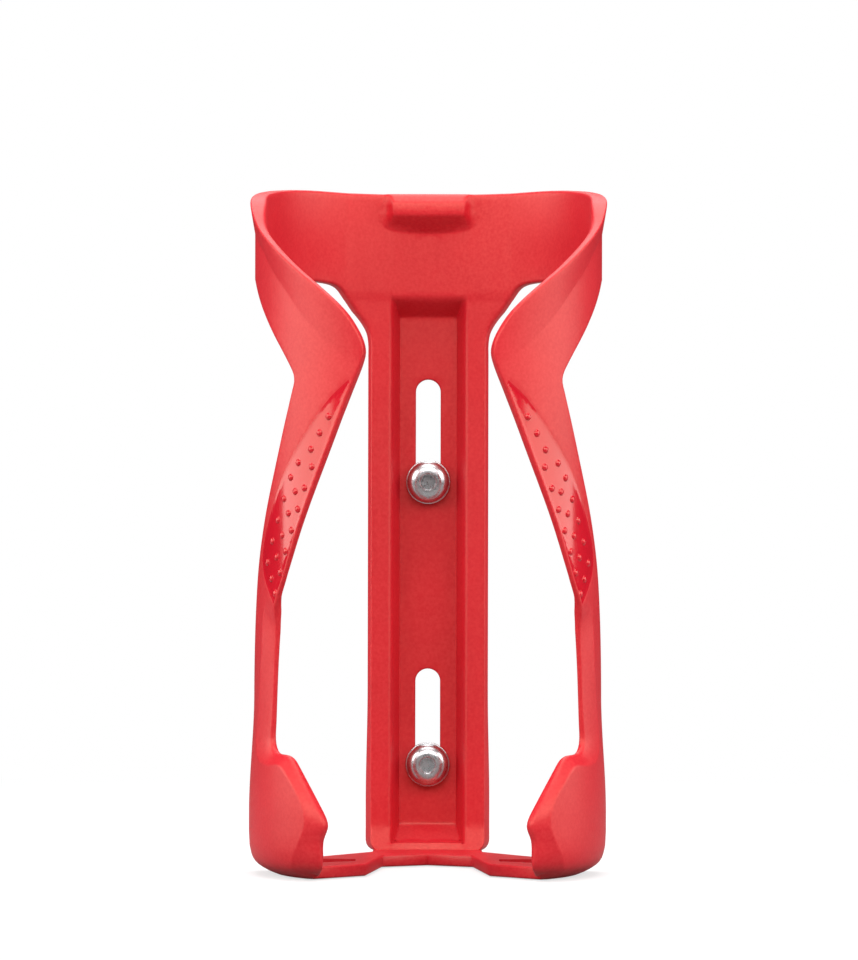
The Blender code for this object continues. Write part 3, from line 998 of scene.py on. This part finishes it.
def object_from(name, made):
    """Turns a bmesh in millimetres into an object in metres."""
    bmesh.ops.scale(made, verts=made.verts, vec=(MM, MM, MM))
    return mesh_object(name, made)


def combine(target, tool, operation, solver="EXACT"):
    """A Boolean whose result replaces the target's mesh; the tool is removed."""
    modifier = target.modifiers.new(tool.name, "BOOLEAN")
    modifier.operation = operation
    modifier.solver = solver
    modifier.object = tool
    bpy.context.view_layer.update()
    evaluated = target.evaluated_get(bpy.context.evaluated_depsgraph_get())
    result = bpy.data.meshes.new_from_object(evaluated)
    target.modifiers.clear()
    target.data = result
    bpy.data.objects.remove(tool)


def paint(target, *materials):
    for material in materials:
        target.data.materials.append(material)


def smooth(target, angle):
    """Shades a mesh smooth, with edges over the angle kept sharp."""
    target.data.shade_smooth()
    target.data.set_sharp_from_angle(angle=math.radians(angle))


# ---- the strap


def is_level(edge):
    return abs(edge.verts[0].co.z - edge.verts[1].co.z) < 1e-6


def bevel(made, edges, rounding, steps):
    bmesh.ops.bevel(
        made, geom=edges, offset=rounding, segments=steps, profile=0.5, affect="EDGES"
    )


def prism(outline, low, high):
    """A solid on a plan outline."""
    made = bmesh.new()
    base = made.faces.new([made.verts.new((x, y, low)) for x, y in outline])
    lifted = bmesh.ops.extrude_face_region(made, geom=[base])
    top = [item for item in lifted["geom"] if isinstance(item, bmesh.types.BMVert)]
    bmesh.ops.translate(made, verts=top, vec=(0.0, 0.0, high - low))
    bmesh.ops.recalc_face_normals(made, faces=made.faces)
    return made


def make_strap():
    """The strap under the bottle, from foot to foot, with its two windows."""
    axis = (0.0, AXIS_Y)
    lip = arc(axis, STRAP_LIP_RADIUS, *STRAP_LIP_TURNS, 13)
    turn = math.degrees(math.acos(STRAP_REAR[-1][0] / STRAP_REAR_RADIUS))
    rear = arc(axis, STRAP_REAR_RADIUS, turn, 90.0, 7)
    right = np.concatenate([STRAP_FRONT, lip, STRAP_REAR, rear])
    left = right[-2:0:-1] * (-1.0, 1.0)
    made = prism(np.concatenate([right, left]), STRAP_BOTTOM, STRAP_TOP)
    bevel(made, [edge for edge in made.edges if is_level(edge)], STRAP_ROUND, steps=3)
    strap = object_from("strap", made)
    for sign in (-1, 1):
        window = [(sign * x, y) for x, y in STRAP_WINDOW]
        made = prism(window, STRAP_BOTTOM - 1.0, STRAP_TOP + 1.0)
        upright = [edge for edge in made.edges if not is_level(edge)]
        bevel(made, upright, STRAP_WINDOW_ROUND, steps=4)
        combine(strap, object_from("window", made), "DIFFERENCE")
    return strap


# ---- the moulding in two halves


def half_of(whole, name, sign):
    """One half of a symmetric solid, cut at the middle plane and closed there."""
    made = bmesh.new()
    made.from_mesh(whole.data)
    bmesh.ops.bisect_plane(
        made,
        geom=made.verts[:] + made.edges[:] + made.faces[:],
        dist=1e-7,
        plane_co=(0, 0, 0),
        plane_no=(sign, 0, 0),
        clear_inner=True,
    )
    rim = [edge for edge in made.edges if edge.is_boundary]
    filled = bmesh.ops.holes_fill(made, edges=rim, sides=0)
    bmesh.ops.triangulate(made, faces=filled["faces"])
    return mesh_object(name, made)


def make_moulding(satin, gloss):
    """The moulding as a left and a right half, shown in place of the frame's backplate and sides.
    """
    half = half_sheet()
    mirrored_whole(half)
    whole = object_from("moulding", half)
    strap = make_strap()
    for item in (whole, strap):
        paint(item, satin, gloss)
    # EXACT leaves the overlap's inner faces here; MANIFOLD joins the two cleanly.
    combine(whole, strap, "UNION", "MANIFOLD")
    for side, sign in (("left", -1), ("right", 1)):
        item = half_of(whole, "moulding_" + side, sign)
        paint(item, satin, gloss)
        smooth(item, angle=50.0)
        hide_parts("backplate", side + "_side")
        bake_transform(item)
    bpy.data.objects.remove(whole)


# ---- screws and washers


def turned(rows, hollow=False):
    """A solid turned about the Y axis: each row is (y, radius at each step round). The last
    row of a hollow one joins the first."""
    made = bmesh.new()
    rings = []
    for y, radii in rows:
        ring = []
        for step, radius in enumerate(radii):
            turn = 2.0 * math.pi * step / len(radii)
            ring.append(made.verts.new((radius * math.cos(turn), y, radius * math.sin(turn))))
        rings.append(ring)
    if hollow:
        rings.append(rings[0])
    else:
        made.faces.new(rings[0])
        made.faces.new(reversed(rings[-1]))
    for near, far in zip(rings, rings[1:]):
        for here in range(len(near)):
            after = (here + 1) % len(near)
            made.faces.new((near[here], near[after], far[after], far[here]))
    bmesh.ops.recalc_face_normals(made, faces=made.faces)
    return made


def place_steel(item, node, steel, angle):
    """Lifts a screw or washer to the height of the frame's node and puts it in its place."""
    low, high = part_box(node)
    item.data.transform(Matrix.Translation((0.0, 0.0, (low.z + high.z) / 2)))
    item.data.materials.clear()
    paint(item, steel)
    smooth(item, angle)
    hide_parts(node)
    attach(item, node)


def thread_rows(start, end, radius):
    """The threaded shank: a V groove that winds round it, with a plain start and tip."""
    rows = []
    for y in np.arange(start, end, THREAD_PITCH / 10.0):
        steps = np.arange(ROUND_STEPS) / ROUND_STEPS
        wave = np.abs(((y / THREAD_PITCH + steps) % 1.0) - 0.5) * 2.0
        groove = THREAD_DEPTH * np.clip(THREAD_STEEPNESS * wave, 0.0, 1.0)
        groove *= ramp(y, start, start + THREAD_PITCH)
        chamfer = TIP_CHAMFER * ramp(y, end - TIP_CHAMFER, end)
        rows.append((y, np.minimum(radius - groove, radius - chamfer)))
    return rows


def make_screw(prefix, steel):
    """A button-head socket screw in the place of the frame's bolt."""
    low, high = cad_box_mm(prefix + "_bolt")
    head_radius = (high.z - low.z) / 2
    top = low.y
    seat = top + HEAD_HEIGHT
    rows = []
    for turn in np.linspace(0.0, math.pi / 2, 9):
        swell = CROWN_RADIUS + (head_radius - CROWN_RADIUS) * math.sin(turn)
        drop = (HEAD_HEIGHT - HEAD_RIM) * (1.0 - math.cos(turn))
        rows.append((top + drop, swell))
    rows += [(seat + rise, head_radius + change) for rise, change in HEAD_SKIRT]
    rows += [(seat + rise, SHANK_RADIUS + change) for rise, change in SHANK_TOP]
    rings = [(y, np.full(ROUND_STEPS, radius)) for y, radius in rows]
    rings += thread_rows(seat + THREAD_START, high.y, SHANK_RADIUS)
    rings.append((high.y, np.full(ROUND_STEPS, TIP_RADIUS)))
    screw = object_from(prefix + "_screw", turned(rings))
    corner = SOCKET_ACROSS_FLATS / math.sqrt(3.0)
    socket = turned([(top - 1.0, [corner] * 6), (top + SOCKET_DEPTH, [corner] * 6)])
    mouth = np.full(ROUND_STEPS // 2, corner)
    countersink = turned([(top - 0.1, mouth + COUNTERSINK), (top + COUNTERSINK_DEPTH, mouth)])
    combine(screw, object_from("socket", socket), "DIFFERENCE")
    combine(screw, object_from("countersink", countersink), "DIFFERENCE")
    place_steel(screw, prefix + "_bolt", steel, angle=35.0)


def washer_rows(outer, front, rear):
    """The washer's section: at each corner, a quarter circle from one face to the next."""
    rows = []
    for radius, y, outward, backward in (
        (outer, front, 1, -1),
        (outer, rear, 1, 1),
        (WASHER_HOLE, rear, -1, 1),
        (WASHER_HOLE, front, -1, -1),
    ):
        turns = np.linspace(0.0, math.pi / 2, 4)
        for turn in turns if outward != backward else turns[::-1]:
            reach = radius - outward * WASHER_ROUND * (1.0 - math.sin(turn))
            depth = y - backward * WASHER_ROUND * (1.0 - math.cos(turn))
            rows.append((depth, np.full(ROUND_STEPS, reach)))
    return rows


def make_washer(prefix, steel):
    """A plain washer with rounded rims, in the place of the frame's washer."""
    low, high = cad_box_mm(prefix + "_washer")
    rows = washer_rows((high.z - low.z) / 2, low.y, high.y)
    washer = object_from(prefix + "_washer_steel", turned(rows, hollow=True))
    place_steel(washer, prefix + "_washer", steel, angle=50.0)


# ---- materials


class Nodes:
    """A material's node tree, with short calls to add and join nodes."""

    def __init__(self, name):
        self.material = bpy.data.materials.new(name)
        self.material.use_nodes = True
        self.tree = self.material.node_tree
        self.tree.nodes.clear()
        self.output = self.add("ShaderNodeOutputMaterial")

    def add(self, kind, inputs=None, **settings):
        node = self.tree.nodes.new(kind)
        for name, value in settings.items():
            setattr(node, name, value)
        for name, value in (inputs or {}).items():
            if isinstance(value, bpy.types.NodeSocket):
                self.tree.links.new(value, node.inputs[name])
            else:
                node.inputs[name].default_value = value
        return node

    def noise(self, place, scale, detail, roughness=0.5):
        inputs = {"Vector": place, "Scale": scale, "Detail": detail, "Roughness": roughness}
        return self.add("ShaderNodeTexNoise", inputs).outputs["Fac"]

    def spread(self, value, low, high):
        """A noise value about 0.5, mapped to the range from low to high."""
        inputs = {"Value": value, "From Min": 0.3, "From Max": 0.7, "To Min": low, "To Max": high}
        return self.add("ShaderNodeMapRange", inputs).outputs["Result"]

    def mix_colour(self, share, first, second):
        node = self.add("ShaderNodeMix", {0: share, 6: first, 7: second}, data_type="RGBA")
        return node.outputs[2]

    def finish(self, shader):
        self.tree.links.new(shader, self.output.inputs["Surface"])
        return self.material


def moulded_nylon(name, roughness, grain, coat):
    """Red glass-filled nylon: a fine spark-eroded grain, faint speckle and flow marks."""
    nodes = Nodes(name)
    place = nodes.add("ShaderNodeTexCoord").outputs["Object"]
    fine = nodes.noise(place, 2600.0, 3.0, 0.65)
    speckle = nodes.noise(place, 1500.0, 2.0)
    flow = nodes.noise(place, 38.0, 2.0)
    colour = nodes.mix_colour(nodes.spread(flow, 0.0, 1.0), DEEP_RED, BRIGHT_RED)
    flecks = nodes.spread(speckle, 0.0, 0.12 * grain)
    colour = nodes.mix_colour(flecks, colour, FLECK_RED)
    uneven = 0.05 * grain
    rough = nodes.spread(fine, roughness - uneven, roughness + uneven)
    relief = {"Height": fine, "Strength": 0.4 * grain, "Distance": 0.00006}
    bump = nodes.add("ShaderNodeBump", relief).outputs["Normal"]
    shader = nodes.add(
        "ShaderNodeBsdfPrincipled",
        {
            "Base Color": colour,
            "Roughness": rough,
            "Normal": bump,
            "IOR": 1.52,
            "Specular Tint": WARM_GLEAM,
            "Coat Weight": coat,
            "Coat Roughness": 0.05,
        },
    )
    return nodes.finish(shader.outputs["BSDF"])


def stainless():
    """Cold-formed stainless steel with faint turning marks and a dull film."""
    nodes = Nodes("stainless_steel")
    place = nodes.add("ShaderNodeTexCoord").outputs["Object"]
    stretch = nodes.add("ShaderNodeMapping", {"Vector": place, "Scale": (1.0, 12.0, 1.0)})
    marks = nodes.noise(stretch.outputs[0], 900.0, 4.0, 0.7)
    cloud = nodes.noise(place, 260.0, 2.0)
    colour = nodes.mix_colour(nodes.spread(cloud, 0.0, 1.0), DULL_STEEL, BRIGHT_STEEL)
    bump = nodes.add("ShaderNodeBump", {"Height": marks, "Strength": 0.25, "Distance": 0.00003})
    shader = nodes.add(
        "ShaderNodeBsdfPrincipled",
        {
            "Base Color": colour,
            "Metallic": 1.0,
            "Roughness": nodes.spread(marks, 0.22, 0.34),
            "Normal": bump.outputs["Normal"],
        },
    )
    return nodes.finish(shader.outputs["BSDF"])


def pale_floor():
    """White where it is far, and a pale floor that takes a soft shadow near the object."""
    nodes = Nodes("pale_floor")
    place = nodes.add("ShaderNodeTexCoord").outputs["Object"]
    distance = nodes.add("ShaderNodeVectorMath", {0: place}, operation="LENGTH").outputs["Value"]
    fade = nodes.add(
        "ShaderNodeMapRange",
        {"Value": distance, "From Min": 0.05, "From Max": 0.35, "To Min": 0.65, "To Max": 1.0},
        interpolation_type="SMOOTHSTEP",
    ).outputs["Result"]
    glow = nodes.add("ShaderNodeEmission", {"Color": (1, 1, 1, 1), "Strength": 1.0}).outputs[0]
    pale = nodes.add("ShaderNodeBsdfDiffuse", {"Color": (0.88, 0.88, 0.88, 1)}).outputs[0]
    seen = nodes.add("ShaderNodeMixShader", {0: fade, 1: pale, 2: glow}).outputs[0]
    bounce = nodes.add("ShaderNodeBsdfDiffuse", {"Color": (0.25, 0.25, 0.25, 1)}).outputs[0]
    is_camera = nodes.add("ShaderNodeLightPath").outputs["Is Camera Ray"]
    mixed = nodes.add("ShaderNodeMixShader", {0: is_camera, 1: bounce, 2: seen})
    return nodes.finish(mixed.outputs[0])


# ---- the studio


def make_floor():
    """A round floor just below the object."""
    made = bmesh.new()
    bmesh.ops.create_circle(made, cap_ends=True, segments=128, radius=FLOOR_RADIUS / MM)
    floor = object_from("floor", made)
    floor.location.z = CAD_BOX[0].z - FLOOR_GAP
    paint(floor, pale_floor())


def make_world():
    """White behind the object, and a dim even light on it."""
    world = bpy.data.worlds.new("studio")
    world.use_nodes = True
    tree = world.node_tree
    background = tree.nodes["Background"]
    background.inputs["Color"].default_value = (1.0, 1.0, 1.0, 1.0)
    path = tree.nodes.new("ShaderNodeLightPath")
    strength = tree.nodes.new("ShaderNodeMapRange")
    strength.inputs["To Min"].default_value = AMBIENT
    tree.links.new(path.outputs["Is Camera Ray"], strength.inputs["Value"])
    tree.links.new(strength.outputs["Result"], background.inputs["Strength"])
    bpy.context.scene.world = world


def softbox(name, place, width, height, radiance):
    """A rectangular light that faces the object and looks as bright as radiance."""
    data = bpy.data.lights.new(name, "AREA")
    data.shape = "RECTANGLE"
    data.size = width
    data.size_y = height
    data.energy = radiance * math.pi * width * height
    lamp = add_object(name, data)
    lamp.location = place
    centre = (CAD_BOX[0] + CAD_BOX[1]) / 2
    lamp.rotation_euler = (Vector(place) - centre).to_track_quat("Z", "Y").to_euler()


def make_camera():
    """A long lens square on to the bottle's side, with a slight roll."""
    data = bpy.data.cameras.new("camera")
    data.lens = FOCAL_LENGTH
    data.shift_x, data.shift_y = CAMERA_SHIFT
    camera = add_object("camera", data)
    camera.location = CAMERA_PLACE
    camera.rotation_euler = (math.radians(90.0), math.radians(CAMERA_ROLL), 0.0)
    bpy.context.scene.camera = camera


def main():
    bpy.context.scene.view_settings.view_transform = "Standard"
    satin = moulded_nylon("satin_red_nylon", roughness=0.42, grain=1.0, coat=0.0)
    gloss = moulded_nylon("polished_red_nylon", roughness=0.16, grain=0.12, coat=0.15)
    steel = stainless()
    make_moulding(satin, gloss)
    for prefix in ("upper", "lower"):
        make_washer(prefix, steel)
        make_screw(prefix, steel)
    make_floor()
    make_world()
    for box in SOFTBOXES:
        softbox(*box)
    make_camera()


main()
